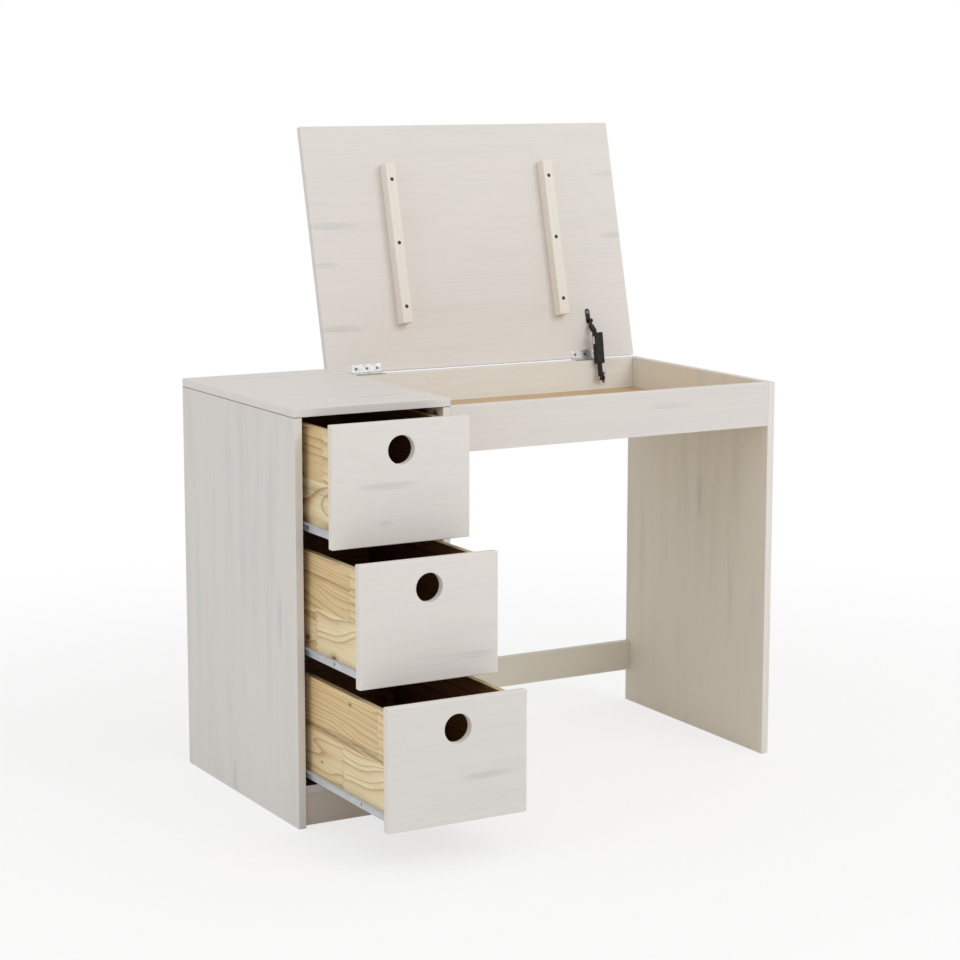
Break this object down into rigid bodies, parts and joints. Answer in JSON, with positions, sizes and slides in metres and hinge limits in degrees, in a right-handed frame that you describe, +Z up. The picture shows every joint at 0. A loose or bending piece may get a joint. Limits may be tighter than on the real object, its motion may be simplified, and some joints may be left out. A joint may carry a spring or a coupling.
{
  "type": "writing desk",
  "caption": "White-washed pine writing desk with a pedestal of pull-out drawers on the left and a lift-up lid over a shallow compartment on the right.",
  "frame": {"origin": "on the floor, under the middle of the desk's whole box as it stands with its lid open and its drawers pulled out", "axes": "+X to the right of a person sitting at the desk, +Y to the back, +Z up"},
  "size_m": [1.017, 0.9338, 1.2143],
  "materials": {
    "whitewash": "white-washed softwood, satin",
    "pine": "natural finger-jointed pine, oiled",
    "batten_pine": "pale planed pine",
    "tan_board": "thin tan hardboard",
    "zinc": "zinc-plated steel",
    "hinge_screw": "darkened steel",
    "dark_screw": "dark oxide steel",
    "white_enamel": "white epoxy-coated sheet steel",
    "stay_black": "black moulded plastic and black-painted steel",
    "blank_label": "blank pale label",
    "roller_plastic": "white nylon"
  },
  "bodies": {
    "root": {"left_side_panel": "whitewash", "divider_panel": "whitewash", "right_side_panel": "whitewash", "fixed_top": "whitewash", "bottom_shelf": "whitewash", "toe_kick": "whitewash", "pedestal_back": "tan_board", "front_rail": "whitewash", "back_rail": "whitewash", "compartment_floor": "tan_board", "back_stretcher": "whitewash", "dowels": "pine", "cam_housings": "zinc", "cam_bolts": "zinc", "hinge_rail_leaves": "zinc", "hinge_pins": "zinc", "rail_screws": "hinge_screw", "stay_rail_bracket": "stay_black", "left_cabinet_runners": "white_enamel", "right_cabinet_runners": "white_enamel", "cabinet_runner_screws": "zinc"},
    "lid": {"lid_panel": "whitewash", "left_batten": "batten_pine", "right_batten": "batten_pine", "batten_screws": "dark_screw", "hinge_lid_leaves": "zinc", "lid_screws": "hinge_screw", "stay_lid_bracket": "stay_black"},
    "stay_lever": {"stay_lever": "stay_black", "stay_rivets": "zinc", "stay_label": "blank_label"},
    "stay_arm": {"stay_arm": "stay_black"},
    "drawer_1": {"drawer_1_front": "whitewash", "drawer_1_left_side": "pine", "drawer_1_right_side": "pine", "drawer_1_back": "pine", "drawer_1_bottom": "tan_board", "drawer_1_runners": "white_enamel", "drawer_1_runner_screws": "zinc"},
    "drawer_1_rear_rollers": {"drawer_1_rear_rollers": "roller_plastic"},
    "drawer_1_front_rollers": {"drawer_1_front_rollers": "roller_plastic"},
    "drawer_2": {"drawer_2_front": "whitewash", "drawer_2_left_side": "pine", "drawer_2_right_side": "pine", "drawer_2_back": "pine", "drawer_2_bottom": "tan_board", "drawer_2_runners": "white_enamel", "drawer_2_runner_screws": "zinc"},
    "drawer_2_rear_rollers": {"drawer_2_rear_rollers": "roller_plastic"},
    "drawer_2_front_rollers": {"drawer_2_front_rollers": "roller_plastic"},
    "drawer_3": {"drawer_3_front": "whitewash", "drawer_3_left_side": "pine", "drawer_3_right_side": "pine", "drawer_3_back": "pine", "drawer_3_bottom": "tan_board", "drawer_3_runners": "white_enamel", "drawer_3_runner_screws": "zinc"},
    "drawer_3_rear_rollers": {"drawer_3_rear_rollers": "roller_plastic"},
    "drawer_3_front_rollers": {"drawer_3_front_rollers": "roller_plastic"}
  },
  "joints": [
    {"name": "lid_hinge", "type": "hinge", "parent": "root", "child": "lid", "pos_m": [0.154, 0.33478, 0.735], "axis": [1, 0, 0], "range_deg": [0, 103.75]},
    {"name": "stay_lever_pivot", "type": "hinge", "parent": "root", "child": "stay_lever", "pos_m": [0.407, 0.30278, 0.698], "axis": [1, 0, 0], "range_deg": [0, 103.75]},
    {"name": "stay_arm_pivot", "type": "hinge", "parent": "stay_lever", "child": "stay_arm", "pos_m": [0.407, 0.3155, 0.77519], "axis": [1, 0, 0], "range_deg": [-103.75, 0]},
    {"name": "drawer_1_slide", "type": "slide", "parent": "root", "child": "drawer_1", "axis": [0, -1, 0], "range_m": [-0.105, 0.235]},
    {"name": "drawer_1_front_roller_spin", "type": "hinge", "parent": "root", "child": "drawer_1_front_rollers", "pos_m": [-0.355, -0.13302, 0.538], "axis": [1, 0, 0], "range_deg": [-601.7, 1346.6]},
    {"name": "drawer_1_rear_roller_spin", "type": "hinge", "parent": "drawer_1", "child": "drawer_1_rear_rollers", "pos_m": [-0.355, 0.18598, 0.538], "axis": [1, 0, 0], "range_deg": [-601.7, 1346.6]},
    {"name": "drawer_2_slide", "type": "slide", "parent": "root", "child": "drawer_2", "axis": [0, -1, 0], "range_m": [-0.205, 0.135]},
    {"name": "drawer_2_front_roller_spin", "type": "hinge", "parent": "root", "child": "drawer_2_front_rollers", "pos_m": [-0.355, -0.13302, 0.315], "axis": [1, 0, 0], "range_deg": [-1174.7, 773.6]},
    {"name": "drawer_2_rear_roller_spin", "type": "hinge", "parent": "drawer_2", "child": "drawer_2_rear_rollers", "pos_m": [-0.355, 0.08598, 0.315], "axis": [1, 0, 0], "range_deg": [-1174.7, 773.6]},
    {"name": "drawer_3_slide", "type": "slide", "parent": "root", "child": "drawer_3", "axis": [0, -1, 0], "range_m": [-0.305, 0.035]},
    {"name": "drawer_3_front_roller_spin", "type": "hinge", "parent": "root", "child": "drawer_3_front_rollers", "pos_m": [-0.355, -0.13302, 0.092], "axis": [1, 0, 0], "range_deg": [-1747.6, 200.6]},
    {"name": "drawer_3_rear_roller_spin", "type": "hinge", "parent": "drawer_3", "child": "drawer_3_rear_rollers", "pos_m": [-0.355, -0.01402, 0.092], "axis": [1, 0, 0], "range_deg": [-1747.6, 200.6]}
  ],
  "couplings": [
    {"joint": "stay_lever_pivot", "follows": "lid_hinge", "ratio": 1},
    {"joint": "stay_arm_pivot", "follows": "lid_hinge", "ratio": -1},
    {"joint": "drawer_1_front_roller_spin", "follows": "drawer_1_slide", "rad_per_m": 100},
    {"joint": "drawer_1_rear_roller_spin", "follows": "drawer_1_slide", "rad_per_m": 100},
    {"joint": "drawer_2_front_roller_spin", "follows": "drawer_2_slide", "rad_per_m": 100},
    {"joint": "drawer_2_rear_roller_spin", "follows": "drawer_2_slide", "rad_per_m": 100},
    {"joint": "drawer_3_front_roller_spin", "follows": "drawer_3_slide", "rad_per_m": 100},
    {"joint": "drawer_3_rear_roller_spin", "follows": "drawer_3_slide", "rad_per_m": 100}
  ]
}
